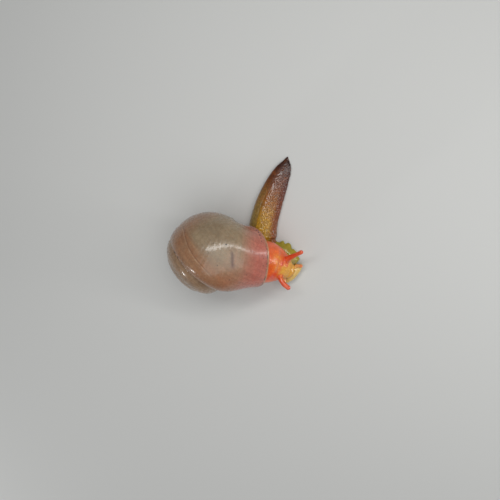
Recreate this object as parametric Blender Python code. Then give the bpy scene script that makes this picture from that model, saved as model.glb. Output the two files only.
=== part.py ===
"""A crawling streptaxid land snail with a glossy globose shell, life size, still, in one pose.

All sizes below are in millimetres and become metres when a mesh is made.
The animal crawls on the floor plane: the foot sole and a small flat under the shell lie at height 0.
Its head points to +X and a little to -Y, its tail to +Y, and the shell leans to -X.
"""

import math

import bmesh
import bpy
import numpy as np

TAU = 2.0 * math.pi
MM = 0.001
GAP = 0.3
MERGES = (0.01, 0.004, 0.001, 0.0)
REACH = 60.0

# Shell: a tube of oval section that winds clockwise, seen from the apex, round its own axis.
SHELL_HALF_WIDTH = 6.46
SHELL_HALF_HEIGHT = 7.31
SHELL_COIL_RADIUS = 3.73
SHELL_COIL_DROP = 9.12
SHELL_WHORLS = 5.0
SECTION_GROWTH = 1.392
RADIUS_GROWTH = 1.274
DROP_GROWTH = 2.003
SECTION_LEAN = math.radians(-6.3)
# The spire sits a little off the last whorl's centre, and its first whorl starts close to the axis.
SPIRE_LIFT = 0.283
SPIRE_SHIFT = (-0.746, -0.071)
SPIRE_SHIFT_FROM = 0.45
SPIRE_SHIFT_TURNS = 0.5
APEX_SHARE = 0.3
APEX_TURNS = 0.9
# The last whorl: its belly, its shoulder at the suture and the bend of the tube before the lip.
BELLY_SWELL = 0.133
BELLY_CENTRE = math.radians(114.0)
BELLY_SPREAD = 0.8
SHOULDER_SWELL = 0.121
SHOULDER_AT = math.radians(50.6)
SHOULDER_SPREAD = math.radians(24.1)
SHOULDER_ARC = math.radians(60.6)
BEND_ARC = math.radians(111.5)
BEND_SLOPE = 0.994
BEND_DRIFT = 1.38
CORE_SHARE = 0.94
# The lip, with a thinner band at its edge.
LIP_NARROWING = 0.066
LIP_ARC = math.radians(49.0)
LIP_CORNER = 0.12
LIP_CORNER_AT = math.radians(5.0)
LIP_CORNER_SPREAD = math.radians(24.0)
LIP_CORNER_ARC = 0.5
LIP_BAND_ARC = 0.055
LIP_BAND_RAMP = 0.85
LIP_STEP = 0.1
LIP_SLANT = 0.05
LIP_SLANT_AT = math.radians(245.0)
LIP_SLANT_RATE = 1.2
SHELL_AXIS = (-0.848, -0.607, 0.113)
LIP_SIDE = (0.602, -0.789, 0.119)
LIP_CENTRE = (1.883, -0.124, 8.01)
WALL = 0.55
RECESS_ARC = 0.36
COLLAR_PROUD_ARC = 0.035
# Small balls that close the navel of the shell and the top of its apex: middle and radius.
NAVEL_BALL = ((-1.26, 6.47, 9.97), 1.08)
APEX_BALL = ((*SPIRE_SHIFT, 1.5), 0.8)
# How finely the shell is drawn.
SHELL_AROUND = 42
SHELL_STEPS = 36
LIP_STEPS = 6

# Foot, tail and neck: stations of x, y, half width and height of the back over the sole.
TAIL_STATIONS = (
    (8.75, 19.8, 0.12, 0.35),
    (8.08, 17.6, 1.5, 1.0),
    (6.74, 15.0, 2.2, 1.55),
    (5.55, 12.4, 2.60, 1.95),
    (4.50, 9.8, 2.85, 2.3),
    (3.60, 7.0, 2.95, 2.6),
    (3.05, 4.3, 3.05, 2.8),
    (2.95, 1.2, 2.95, 2.9),
)
FOOT_STATIONS = (
    (0.3, -0.5, 1.9, 1.6),
    (1.6, -0.7, 3.1, 1.9),
    (3.2, -1.2, 3.4, 2.0),
    (4.9, -1.6, 3.6, 2.0),
    (6.7, -2.2, 3.7, 2.0),
    (8.2, -3.0, 3.05, 1.8),
    (9.4, -3.9, 2.5, 1.5),
)
# Neck and head: stations of x, y, z of the middle, half width and half height.
NECK_STATIONS = (
    (1.2, 0.1, 9.3, 3.7, 3.8),
    (2.6, -0.6, 7.3, 4.0, 4.0),
    (4.6, -1.9, 4.9, 4.35, 4.1),
    (6.2, -2.65, 3.8, 3.85, 3.4),
    (7.4, -3.25, 3.2, 3.05, 2.8),
    (8.2, -3.75, 2.8, 2.35, 2.1),
    (8.6, -4.0, 2.55, 1.8, 1.5),
)
# The cream lobe across the front, from the animal's left end to its right end.
LOBE_STATIONS = (
    (11.35, -3.05, 1.5, 0.35, 0.4),
    (10.85, -3.55, 1.5, 0.7, 0.8),
    (9.95, -4.6, 1.45, 0.85, 1.1),
    (9.05, -5.65, 1.4, 0.8, 1.0),
    (8.3, -6.5, 1.35, 0.45, 0.6),
)
# Feelers: stations of x, y, z and radius, root first.
FEELERS = {
    "tentacle_upper_left": (
        (8.1, -1.9, 4.4, 1.0),
        (9.5, -0.95, 5.4, 0.62),
        (11.0, -0.2, 6.2, 0.45),
        (12.3, 0.45, 6.8, 0.45),
    ),
    "tentacle_upper_right": (
        (7.2, -3.9, 4.6, 0.95),
        (7.6, -5.1, 5.6, 0.6),
        (8.35, -6.3, 6.0, 0.53),
        (9.3, -7.1, 6.0, 0.5),
    ),
    "tentacle_lower_left": (
        (10.5, -3.15, 1.9, 0.5),
        (11.0, -3.1, 2.2, 0.4),
        (11.6, -3.1, 2.5, 0.32),
    ),
    "tentacle_lower_right": (
        (7.75, -5.95, 2.0, 0.5),
        (7.75, -6.75, 2.25, 0.4),
        (8.1, -7.4, 2.35, 0.32),
    ),
}
DOME_ANGLES = (0.45, 0.9, 1.25)
FOOT_TOP = 1.35
TAIL_CUT_Y = 12.3
CREASE_Y = 2.45
CREASE_TOP = 4.2
FOOT_CUT = ((4.6, -1.7), (0.96, -0.28))
HEAD_CUT = ((7.7, -2.95), (0.84, -0.54))
# The mouth is a thin groove along the front of the lobe, between an upper and a lower lip.
MOUTH_RADIUS = 0.2
MOUTH_DROP = 0.45
MOUTH_REACH = 0.92
# The foot margin is wavy; at each point x, y it bends in by a depth, or out where that is less than 0,
# over a radius.
FRILL_DEPTH = 0.14
FRILL_LENGTH = 2.3
MARGIN_BENDS = (
    (7.3, 1.9, 1.1, 0.5),
    (8.55, 1.05, -0.7, 0.85),
    (9.75, 0.15, 0.75, 0.5),
    (10.0, -0.9, 0.5, 0.4),
    (5.3, 2.2, 0.4, 0.5),
    (5.0, -5.4, 0.55, 0.45),
    (7.0, -5.5, 0.55, 0.45),
)

COLOURS = {
    "shell": ((0.45, 0.36, 0.27, 1.0), 0.18),
    "collar": ((0.60, 0.28, 0.12, 1.0), 0.3),
    "skin": ((0.75, 0.22, 0.06, 1.0), 0.3),
    "feeler": ((0.72, 0.13, 0.05, 1.0), 0.3),
    "lobe": ((0.80, 0.68, 0.40, 1.0), 0.35),
    "foot": ((0.55, 0.50, 0.10, 1.0), 0.4),
    "tail": ((0.45, 0.27, 0.08, 1.0), 0.45),
}


def unit(vector):
    vector = np.asarray(vector, float)
    return vector / np.linalg.norm(vector)


def smooth(t):
    t = np.clip(t, 0.0, 1.0)
    return t * t * (3.0 - 2.0 * t)


def through(stations, count):
    """Points on a smooth curve through the stations, evenly spaced in station number."""
    p = np.array(stations, float)
    p = np.vstack([2 * p[0] - p[1], p, 2 * p[-1] - p[-2]])
    points = []
    for t in np.linspace(0.0, len(stations) - 1.0, count):
        i = min(int(t), len(stations) - 2)
        f = t - i
        a, b, c, d = p[i:i + 4]
        square = 2 * a - 5 * b + 4 * c - d
        cube = 3 * b - a - 3 * c + d
        points.append(0.5 * (2 * b + (c - a) * f + square * f ** 2 + cube * f ** 3))
    return np.array(points)


def add_mesh(name, rings):
    """A closed body from rings of equal length, each end filled by a fan round its middle."""
    rings = np.asarray(rings, float) * MM
    count = rings.shape[1]
    mesh = bpy.data.meshes.new(name)
    bm = bmesh.new()
    rows = [[bm.verts.new(point) for point in ring] for ring in rings]
    for row, following in zip(rows, rows[1:]):
        for i in range(count):
            j = (i + 1) % count
            bm.faces.new((row[i], row[j], following[j]))
            bm.faces.new((row[i], following[j], following[i]))
    for row, ring in ((rows[0], rings[0]), (rows[-1], rings[-1])):
        middle = bm.verts.new(ring.mean(axis=0))
        for i in range(count):
            bm.faces.new((row[i], row[(i + 1) % count], middle))
    bmesh.ops.recalc_face_normals(bm, faces=bm.faces)
    bm.to_mesh(mesh)
    bm.free()
    obj = bpy.data.objects.new(name, mesh)
    bpy.context.scene.collection.objects.link(obj)
    return obj


def boolean(target, others, operation, solver="EXACT"):
    """Joins or cuts the target with the others in one step, applies it and removes them."""
    group = bpy.data.collections.new("operands")
    bpy.context.scene.collection.children.link(group)
    for other in others:
        bpy.context.scene.collection.objects.unlink(other)
        group.objects.link(other)
    modifier = target.modifiers.new("join", "BOOLEAN")
    modifier.operation = operation
    modifier.operand_type = "COLLECTION"
    modifier.collection = group
    modifier.solver = solver
    graph = bpy.context.evaluated_depsgraph_get()
    result = bpy.data.meshes.new_from_object(target.evaluated_get(graph))
    target.modifiers.clear()
    target.data = result
    for other in others:
        bpy.data.objects.remove(other)
    bpy.data.collections.remove(group)
    keep_largest(target)


def keep_largest(obj):
    """Keeps the largest closed surface in triangles, merging close points as far as it stays closed."""
    for distance in MERGES:
        bm = bmesh.new()
        bm.from_mesh(obj.data)
        if distance:
            bmesh.ops.remove_doubles(bm, verts=bm.verts, dist=distance * MM)
        bmesh.ops.triangulate(bm, faces=bm.faces)
        islands = separate_islands(bm)
        best = max(islands, key=len)
        bmesh.ops.delete(bm, geom=[v for v in bm.verts if v not in best], context="VERTS")
        closed = all(len(edge.link_faces) == 2 for edge in bm.edges)
        if closed or not distance:
            bm.to_mesh(obj.data)
        bm.free()
        if closed:
            return


def separate_islands(bm):
    """Sets of points that hang together."""
    left = set(bm.verts)
    islands = []
    while left:
        front = [left.pop()]
        island = set(front)
        while front:
            for edge in front.pop().link_edges:
                for vert in edge.verts:
                    if vert in left:
                        left.discard(vert)
                        island.add(vert)
                        front.append(vert)
        islands.append(island)
    return islands


def copy_of(obj, name):
    twin = obj.copy()
    twin.data = obj.data.copy()
    twin.name = name
    bpy.context.scene.collection.objects.link(twin)
    return twin


def slab(centre, direction, thickness, low=-2.0, high=30.0, reach=REACH / 2):
    """An upright plate through a point of the floor, square to a direction on the floor."""
    d = unit((*direction, 0.0))
    side = np.array([-d[1], d[0], 0.0])
    middle = np.array([*centre, 0.0])
    rings = []
    for shift in (-thickness / 2, thickness / 2):
        base = middle + d * shift
        corners = ((-reach, low), (reach, low), (reach, high), (-reach, high))
        rings.append([base + side * u + np.array([0, 0, z]) for u, z in corners])
    return add_mesh("slab", rings)


def half_space(centre, direction):
    """A block that holds all that lies ahead of an upright plane."""
    d = unit((*direction, 0.0))
    return slab(np.array(centre) + d[:2] * REACH / 2, direction, REACH)


def block_between(low, high):
    corners = ((-REACH, -REACH), (REACH, -REACH), (REACH, REACH), (-REACH, REACH))
    return add_mesh("block", [[(x, y, z) for x, y in corners] for z in (low, high)])


def coil_middle(turn_angle):
    """Middle of the tube in the shell's own frame, at an angle that is 0 at the lip and less before it."""
    turns = turn_angle / TAU
    bend = max((turn_angle + BEND_ARC) / BEND_ARC, 0.0)
    radius = SHELL_COIL_RADIUS * RADIUS_GROWTH ** turns + BEND_DRIFT * bend ** 2
    radius *= APEX_SHARE + (1.0 - APEX_SHARE) * smooth((turns + SHELL_WHORLS) / APEX_TURNS)
    height = SPIRE_LIFT * max(-turns - 1.0, 0.0) - SHELL_COIL_DROP * DROP_GROWTH ** turns
    height -= BEND_SLOPE * SHELL_COIL_RADIUS * BEND_ARC / 2 * bend ** 2
    shift = smooth((-turns - SPIRE_SHIFT_FROM) / SPIRE_SHIFT_TURNS)
    return np.array([
        radius * math.cos(turn_angle) + SPIRE_SHIFT[0] * shift,
        -radius * math.sin(turn_angle) + SPIRE_SHIFT[1] * shift,
        height,
    ])


def shell_frame():
    axis = unit(SHELL_AXIS)
    side = np.array(LIP_SIDE)
    side = unit(side - side.dot(axis) * axis)
    return np.stack([side, np.cross(axis, side), axis], 1)


def placed(points):
    """Points of the shell's own frame in the part's."""
    return (np.array(points) - coil_middle(0.0)) @ shell_frame().T + np.array(LIP_CENTRE)


def bump(angle, centre, spread):
    """A bell curve round a section angle."""
    off = (angle - centre + math.pi) % TAU - math.pi
    return math.exp(-(off / spread) ** 2)


def shell_ring(turn_angle, count, grow=0.0):
    """The tube's section, slanted near the lip so that the lip reaches further at its upper left."""
    ring = oval_ring(turn_angle, count, grow)
    share = smooth((turn_angle + RECESS_ARC) / RECESS_ARC)
    if share > 0:
        ahead = oval_ring(turn_angle + LIP_SLANT, count, grow)
        for i in range(count):
            off = (TAU * i / count - LIP_SLANT_AT + math.pi) % TAU - math.pi
            reach = share * max(math.cos(min(abs(off) * LIP_SLANT_RATE, math.pi / 2)), 0.0)
            ring[i] += (ahead[i] - ring[i]) * reach
    return ring


def oval_ring(turn_angle, count, grow):
    """The tube's oval section at an angle, as points in the part's frame."""
    step = 1e-4
    middle = coil_middle(turn_angle)
    ahead = unit(coil_middle(turn_angle + step) - coil_middle(turn_angle - step))
    outward = np.array([math.cos(turn_angle), -math.sin(turn_angle), 0.0])
    outward = unit(outward - outward.dot(ahead) * ahead)
    up = np.cross(outward, ahead)
    up *= math.copysign(1.0, up[2])
    first = outward * math.cos(SECTION_LEAN) + up * math.sin(SECTION_LEAN)
    second = up * math.cos(SECTION_LEAN) - outward * math.sin(SECTION_LEAN)
    scale = SECTION_GROWTH ** (turn_angle / TAU)
    scale *= 1.0 - LIP_NARROWING * smooth((turn_angle + LIP_ARC) / LIP_ARC)
    belly = 1.0 + BELLY_SWELL * math.exp(-((turn_angle + BELLY_CENTRE) / BELLY_SPREAD) ** 2)
    corner = LIP_CORNER * smooth((turn_angle + LIP_CORNER_ARC) / LIP_CORNER_ARC)
    shoulder = SHOULDER_SWELL * smooth(-turn_angle / SHOULDER_ARC)
    inward, reach = turning_side(turn_angle)
    points = []
    for i in range(count):
        t = TAU * i / count
        swell = 1.0 + corner * bump(t, LIP_CORNER_AT, LIP_CORNER_SPREAD)
        swell += shoulder * bump(t, SHOULDER_AT, SHOULDER_SPREAD)
        width = SHELL_HALF_WIDTH * scale * swell + grow
        height = SHELL_HALF_HEIGHT * scale * swell * (belly if math.sin(t) < 0 else 1.0) + grow
        arm = first * width * math.cos(t) + second * height * math.sin(t)
        past = max(arm.dot(inward) - reach, 0.0)
        points.append(middle + arm - inward * past)
    return placed(points)


def turning_side(turn_angle):
    """Way to the centre that the tube turns round, and how far a section may reach towards it."""
    step = 0.02
    before, here, after = (coil_middle(turn_angle + s) for s in (-step, 0.0, step))
    speed = (after - before) / (2 * step)
    push = (after - 2 * here + before) / step ** 2
    push -= unit(speed) * push.dot(unit(speed))
    radius = speed.dot(speed) / np.linalg.norm(push)
    return unit(push), radius * CORE_SHARE


def shell_tube(start, end, steps, count, grow=0.0):
    """A closed piece of the tube; the one that ends at the lip has a thinner band there."""
    angles = np.linspace(start, end, steps + 1)
    rings = [shell_ring(angle, count, grow) for angle in angles]
    if end == 0.0:
        rings[-1] = shell_ring(-LIP_BAND_ARC, count, grow)
        rings.append(shell_ring(-LIP_BAND_ARC * LIP_BAND_RAMP, count, grow - LIP_STEP))
        rings.append(shell_ring(0.0, count, grow - LIP_STEP))
    return add_mesh("tube", rings)


def whorl_tubes(grow, first_angle, last_angle, arc=TAU / 3):
    """The tube in pieces short enough not to meet themselves."""
    pieces = []
    number = max(1, round((last_angle - first_angle) / arc))
    edges = np.linspace(first_angle, last_angle, number + 1)
    for start, end in zip(edges, edges[1:]):
        steps = max(4, round(SHELL_STEPS * (end - start) / TAU))
        pieces.append(shell_tube(start, end, steps, SHELL_AROUND, grow))
    return pieces


def joined(name, pieces):
    target = pieces[0]
    target.name = name
    if len(pieces) > 1:
        boolean(target, pieces[1:], "UNION")
    return target


def ball(centre, radius, count=20, rows=9, pole=0.25):
    turns = np.linspace(0.0, TAU, count, endpoint=False)
    ring = np.stack([np.cos(turns), np.sin(turns), np.zeros(count)], 1)
    rings = []
    for t in np.linspace(pole, math.pi - pole, rows):
        rings.append(np.array(centre) + radius * (ring * math.sin(t) - np.array([0.0, 0.0, math.cos(t)])))
    return add_mesh("ball", rings)


def make_shell():
    """One solid from the apex to the lip, with a recess inside the lip and a small flat at the floor."""
    apex_middle, apex_radius = APEX_BALL
    balls = [ball(*NAVEL_BALL), ball(placed([apex_middle])[0], apex_radius)]
    shell = joined("shell", whorl_tubes(0.0, -SHELL_WHORLS * TAU, 0.0) + balls)
    recess = shell_tube(-RECESS_ARC, 0.2, LIP_STEPS, SHELL_AROUND, -WALL)
    boolean(shell, [recess], "DIFFERENCE")
    boolean(shell, [block_between(-20.0, 0.0)], "DIFFERENCE")
    return shell


def make_collar():
    """The fleshy ring and plug that close the recess behind the lip."""
    inner_end = GAP / SHELL_HALF_WIDTH - RECESS_ARC
    return shell_tube(inner_end, COLLAR_PROUD_ARC, LIP_STEPS - 2, SHELL_AROUND, -WALL - GAP)


def back_profile(half_width, height, sole_share=0.82, rim=0.45, count=20):
    """Section of the foot or tail: a flat sole, a thin rim at each side and a rounded back."""
    points = [(-sole_share * half_width, 0.0), (0.0, 0.0), (sole_share * half_width, 0.0)]
    rim = min(rim, height * 0.5)
    for i in range(count + 1):
        t = math.pi * i / count
        u = half_width * math.cos(t)
        z = rim + (height - rim) * math.sin(t) ** 0.85
        points.append((u, z))
    return points


def margin_depth(point):
    """How far the foot margin bends in at a point of the floor."""
    total = 0.0
    for x, y, depth, radius in MARGIN_BENDS:
        total += depth * math.exp(-(math.dist(point, (x, y)) / radius) ** 2)
    return total


def strip(name, stations, count, frill=0.0):
    """A crawling strip along its stations, square to the way it runs; frill is the margin's wave."""
    path = through(stations, count)
    middles = path[:, :2]
    ways = np.gradient(middles, axis=0)
    lengths = np.concatenate([[0.0], np.cumsum(np.linalg.norm(np.diff(middles, axis=0), axis=1))])
    rings = []
    for middle, way, length, (half_width, height) in zip(middles, ways, lengths, path[:, 2:]):
        way = unit(way)
        side = np.array([-way[1], way[0]])
        wave = frill * math.sin(TAU * length / FRILL_LENGTH)
        ring = []
        for u, z in back_profile(half_width, height):
            edge = smooth((abs(u) / half_width - 0.75) / 0.25) * math.exp(-((z - 0.4) / 0.5) ** 2)
            if frill:
                u += math.copysign((wave - margin_depth(middle + side * u)) * edge, u)
            ring.append([*(middle + side * u), z])
        rings.append(ring)
    return add_mesh(name, rings)


def oval_tube(name, stations, count, around=28, grow=0.0):
    """A closed tube of oval section through stations of x, y, z, half width and half height."""
    path = through(stations, count)
    ways = np.gradient(path[:, :3], axis=0)
    rings = []
    for point, way in zip(path, ways):
        way = unit(way)
        side = unit(np.cross(way, (0.0, 0.0, 1.0)))
        up = np.cross(side, way)
        rings.append([
            point[:3] + side * (point[3] + grow) * math.cos(t) + up * (point[4] + grow) * math.sin(t)
            for t in np.linspace(0, TAU, around, endpoint=False)
        ])
    first, last = np.array(rings[0]), np.array(rings[-1])
    start = rounded_end(first, -unit(ways[0]), min(path[0, 3:]) + grow)
    finish = rounded_end(last, unit(ways[-1]), min(path[-1, 3:]) + grow)
    return add_mesh(name, [*reversed(start), *rings, *finish])


def rounded_end(ring, way, depth):
    """Rings that close an end with a dome."""
    middle = ring.mean(axis=0)
    rings = []
    for t in DOME_ANGLES:
        rings.append(middle + (ring - middle) * math.cos(t) + way * depth * math.sin(t))
    return rings


def feeler(name, stations, grow=0.0):
    return oval_tube(name, [(*s, s[3]) for s in stations], 12, 14, grow)


def mouth_line():
    """A thin tube along the front of the lobe, a little below its middle."""
    path = through(LOBE_STATIONS, 11)[2:-2]
    ways = np.gradient(path[:, :2], axis=0)
    stations = []
    for (x, y, z, half_width, _), way in zip(path, ways):
        front = unit((-way[1], way[0])) * half_width * MOUTH_REACH
        stations.append((x + front[0], y + front[1], z - MOUTH_DROP, MOUTH_RADIUS, MOUTH_RADIUS))
    return oval_tube("mouth", stations, 12, 8)


def make_material(name, colour, roughness):
    material = bpy.data.materials.new(name)
    material.use_nodes = True
    shader = material.node_tree.nodes["Principled BSDF"]
    shader.inputs["Base Color"].default_value = colour
    shader.inputs["Roughness"].default_value = roughness
    shader.inputs["Metallic"].default_value = 0.0
    return material


def part_of(body, name, keep_inside):
    """The share of the body inside all the blocks, as a node of its own."""
    piece = copy_of(body, name)
    for block in keep_inside:
        boolean(piece, [block], "INTERSECT")
    return piece


def away(centre, direction, shift):
    return np.array(centre) + unit(direction) * shift


def make_body(shell_clear):
    """Foot, tail, neck and head as one form, parted by thin cuts, clear of the shell and collar."""
    half = GAP / 2
    tail = strip("tail", TAIL_STATIONS, 34)
    foot = strip("foot", FOOT_STATIONS, 44, FRILL_DEPTH)
    neck = oval_tube("neck", NECK_STATIONS, 22)
    low = joined("low", [tail, foot])
    upper = copy_of(neck, "upper")
    boolean(upper, [copy_of(low, "low")], "UNION")
    boolean(low, [copy_of(shell_clear, "clear")], "DIFFERENCE")
    beyond_crease = slab((0, CREASE_Y - half + REACH / 2), (0.0, 1.0), REACH, -5.0, CREASE_TOP)
    boolean(upper, [shell_clear, beyond_crease], "DIFFERENCE")
    nodes = {}
    tail_way = (0.0, 1.0)
    down = (0.0, -1.0)
    nodes["tail_tip"] = part_of(low, "tail_tip", [half_space((0, TAIL_CUT_Y + half), tail_way)])
    nodes["tail_base"] = part_of(low, "tail_base", [
        half_space((0, TAIL_CUT_Y - half), down),
        half_space((0, CREASE_Y + half), tail_way),
    ])
    foot_point, foot_way = FOOT_CUT
    nodes["foot_middle"] = part_of(low, "foot_middle", [
        half_space((0, CREASE_Y - half), down),
        half_space(away(foot_point, foot_way, -half), -np.array(foot_way)),
        block_between(-5.0, FOOT_TOP),
    ])
    nodes["foot_front"] = part_of(low, "foot_front", [
        half_space((0, CREASE_Y - half), down),
        half_space(away(foot_point, foot_way, half), foot_way),
        block_between(-5.0, FOOT_TOP),
    ])
    head_point, head_way = HEAD_CUT
    nodes["neck"] = part_of(upper, "neck", [
        block_between(FOOT_TOP + GAP, 30.0),
        half_space(away(head_point, head_way, -half), -np.array(head_way)),
    ])
    nodes["head"] = part_of(upper, "head", [
        block_between(FOOT_TOP + GAP, 30.0),
        half_space(away(head_point, head_way, half), head_way),
    ])
    boolean(nodes["tail_base"], [oval_tube("clear", NECK_STATIONS, 22, grow=GAP)], "DIFFERENCE")
    for spare in (low, upper, neck):
        bpy.data.objects.remove(spare)
    return nodes


def make_face(nodes):
    """The lobe across the front and the four feelers, each cut clear of what it grows from."""
    lobe = oval_tube("mouth_lobe", LOBE_STATIONS, 14, 18)
    clear = [oval_tube("clear", NECK_STATIONS, 22, grow=GAP), mouth_line(), block_between(-20.0, 0.0)]
    boolean(lobe, clear, "DIFFERENCE")
    nodes["mouth_lobe"] = lobe
    boolean(nodes["foot_front"], [oval_tube("clear", LOBE_STATIONS, 14, 18, GAP)], "DIFFERENCE")
    for name, stations in FEELERS.items():
        horn = feeler(name, stations)
        clear = [oval_tube("clear", NECK_STATIONS, 22, grow=GAP)]
        if "lower" in name:
            clear.append(oval_tube("clear", LOBE_STATIONS, 14, 18, GAP))
        boolean(horn, clear, "DIFFERENCE")
        nodes[name] = horn


def main():
    for obj in list(bpy.data.objects):
        bpy.data.objects.remove(obj)
    nodes = {"shell": make_shell(), "mantle_collar": make_collar()}
    clear_end = COLLAR_PROUD_ARC + GAP / SHELL_HALF_WIDTH
    shell_clear = joined("shell_clear", whorl_tubes(GAP, -TAU, clear_end))
    nodes.update(make_body(shell_clear))
    make_face(nodes)
    looks = {name: make_material(name, *look) for name, look in COLOURS.items()}
    slots = {
        "shell": "shell", "mantle_collar": "collar", "neck": "skin", "head": "skin", "mouth_lobe": "lobe",
        "foot_front": "foot", "foot_middle": "foot", "tail_base": "tail", "tail_tip": "tail",
    }
    for name, obj in nodes.items():
        obj.name = name
        obj.data.name = name
        obj.data.materials.clear()
        obj.data.materials.append(looks[slots.get(name, "feeler")])
        obj.data.shade_smooth()
    settle(nodes.values())


def settle(objects):
    """Moves everything so that the origin is the middle of the overall box, at the floor."""
    corners = np.array([tuple(vert.co) for obj in objects for vert in obj.data.vertices])
    low, high = corners.min(axis=0), corners.max(axis=0)
    shift = (-(low[0] + high[0]) / 2, -(low[1] + high[1]) / 2, -low[2])
    for obj in objects:
        for vert in obj.data.vertices:
            vert.co = [value + move for value, move in zip(vert.co, shift)]


main()
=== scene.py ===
"""A crawling streptaxid land snail: glossy globose shell, wet granular skin, studio floor, lights and camera.

Lengths inside the functions are millimetres in the snail's own frame, whose zero is the point of the
floor that the camera looks at. PLACE moves that frame to the part's, and MM turns it to metres.
"""

import math
from functools import partial

import bmesh
import bpy
import numpy as np
from bpy.props import FloatProperty, FloatVectorProperty, PointerProperty
from mathutils import Matrix, Vector, kdtree


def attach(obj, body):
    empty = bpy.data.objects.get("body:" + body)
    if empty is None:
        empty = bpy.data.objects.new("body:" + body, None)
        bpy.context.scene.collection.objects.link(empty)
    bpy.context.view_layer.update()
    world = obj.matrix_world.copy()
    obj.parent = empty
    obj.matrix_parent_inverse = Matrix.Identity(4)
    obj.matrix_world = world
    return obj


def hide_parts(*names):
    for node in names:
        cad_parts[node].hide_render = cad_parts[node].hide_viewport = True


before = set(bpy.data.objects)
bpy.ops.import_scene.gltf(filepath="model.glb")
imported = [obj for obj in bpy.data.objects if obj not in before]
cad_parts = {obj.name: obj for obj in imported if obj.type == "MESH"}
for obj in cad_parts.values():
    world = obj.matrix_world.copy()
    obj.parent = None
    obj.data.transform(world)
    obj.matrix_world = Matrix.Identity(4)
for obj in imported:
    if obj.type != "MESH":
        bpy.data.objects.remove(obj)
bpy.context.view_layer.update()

MM = 0.001
TAU = 2.0 * math.pi
PLACE = np.array([1.453, -5.8891, 0.0])

bl_info = {
    "name": "Streptaxid snail",
    "version": (1, 0, 0),
    "blender": (4, 5, 0),
    "location": "View3D > Sidebar > Snail",
    "description": "Builds a life-size crawling land snail with its shell, skin and studio",
    "category": "Object",
}

# Shell coil, as the solid has it.
SHELL_HALF_WIDTH = 6.46
SHELL_HALF_HEIGHT = 7.31
SHELL_COIL_RADIUS = 3.73
SHELL_COIL_DROP = 9.12
SHELL_WHORLS = 5.0
SECTION_GROWTH = 1.392
RADIUS_GROWTH = 1.274
DROP_GROWTH = 2.003
SECTION_LEAN = math.radians(-6.3)
SPIRE_LIFT = 0.283
SPIRE_SHIFT = (-0.746, -0.071)
SPIRE_SHIFT_FROM = 0.45
SPIRE_SHIFT_TURNS = 0.5
APEX_SHARE = 0.3
APEX_TURNS = 0.9
BELLY_SWELL = 0.133
BELLY_CENTRE = math.radians(114.0)
BELLY_SPREAD = 0.8
SHOULDER_SWELL = 0.121
SHOULDER_AT = math.radians(50.6)
SHOULDER_SPREAD = math.radians(24.1)
SHOULDER_ARC = math.radians(60.6)
BEND_ARC = math.radians(111.5)
BEND_SLOPE = 0.994
BEND_DRIFT = 1.38
CORE_SHARE = 0.94
LIP_NARROWING = 0.066
LIP_ARC = math.radians(49.0)
LIP_CORNER = 0.12
LIP_CORNER_AT = math.radians(5.0)
LIP_CORNER_SPREAD = math.radians(24.0)
LIP_CORNER_ARC = 0.5
LIP_BAND_ARC = 0.055
LIP_BAND_RAMP = 0.85
LIP_STEP = 0.1
LIP_SLANT = 0.05
LIP_SLANT_AT = math.radians(245.0)
LIP_SLANT_RATE = 1.2
SHELL_AXIS = (-0.848, -0.607, 0.113)
LIP_SIDE = (0.602, -0.789, 0.119)
LIP_CENTRE = (1.883, -0.124, 8.01)
WALL = 0.55
# Rings of the shell's mesh are RING_STEP radians apart at the lip, and its parts that lie more than BURIED
# millimetres deep in another whorl are left out.
RING_STEP = 0.016
BURIED = 0.12
RECESS_ARC = 0.36
NAVEL_BALL = ((-1.26, 6.47, 9.97), 1.08)
APEX_BALL = ((*SPIRE_SHIFT, 1.5), 0.9)

# The furrows between the small whorls are filled from FLUSH_FROM turns before the lip, and the filling fades
# out towards the turn FLUSH_TO near the apex. FLUSH_LEFT is the share of their depth that stays, and
# FLUSH_DEPTH the depth in millimetres past which they are filled less.
FLUSH_FROM = 0.95
FLUSH_TO = -3.1
FLUSH_LEFT = 0.3
FLUSH_DEPTH = 0.9

# Marks of the last whorl, as turns from the lip and degrees round the section. The line is the edge of the
# whorl before, seen through the shell. Then come a smudge, and specks of soil with their radius in
# millimetres, of which the last eleven lie along the lip.
SEEN_LINE = (
    (-0.45, 12.0), (-0.38, 15.5), (-0.36, 17.0), (-0.326, 21.5), (-0.292, 25.6), (-0.265, 27.6),
    (-0.24, 28.6), (-0.217, 29.6), (-0.194, 31.0), (-0.15, 33.5),
)
SMUDGE_MIDDLE = (-0.1315, -13.5)
SMUDGE_SLOPE = 0.00068
SMUDGE_HALF_SIZE = (0.0075, 11.0)
SPECKS = (
    (-0.170, -27.2, 0.16), (-0.174, 10.5, 0.14), (-0.219, -12.2, 0.1), (-0.121, 19.8, 0.14),
    (-0.072, -3.8, 0.12), (-0.349, 56.5, 0.3), (-0.321, 57.3, 0.3), (-0.294, 56.3, 0.2),
    (-1.347, 45.2, 0.12), (-0.31, 66.0, 0.12),
    (-0.046, -103.0, 0.17), (-0.030, -114.5, 0.19), (-0.022, -112.2, 0.13), (-0.019, -107.2, 0.2),
    (-0.0175, -100.5, 0.15), (-0.0185, -93.0, 0.19), (-0.0205, -85.5, 0.15), (-0.0225, -77.5, 0.13),
    (-0.027, -49.8, 0.1), (-0.0235, -44.5, 0.15), (-0.022, -31.2, 0.09),
)
# The specks' edges are uneven over this many metres, half of it to either side.
SPECK_UNEVEN = 0.0004

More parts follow.
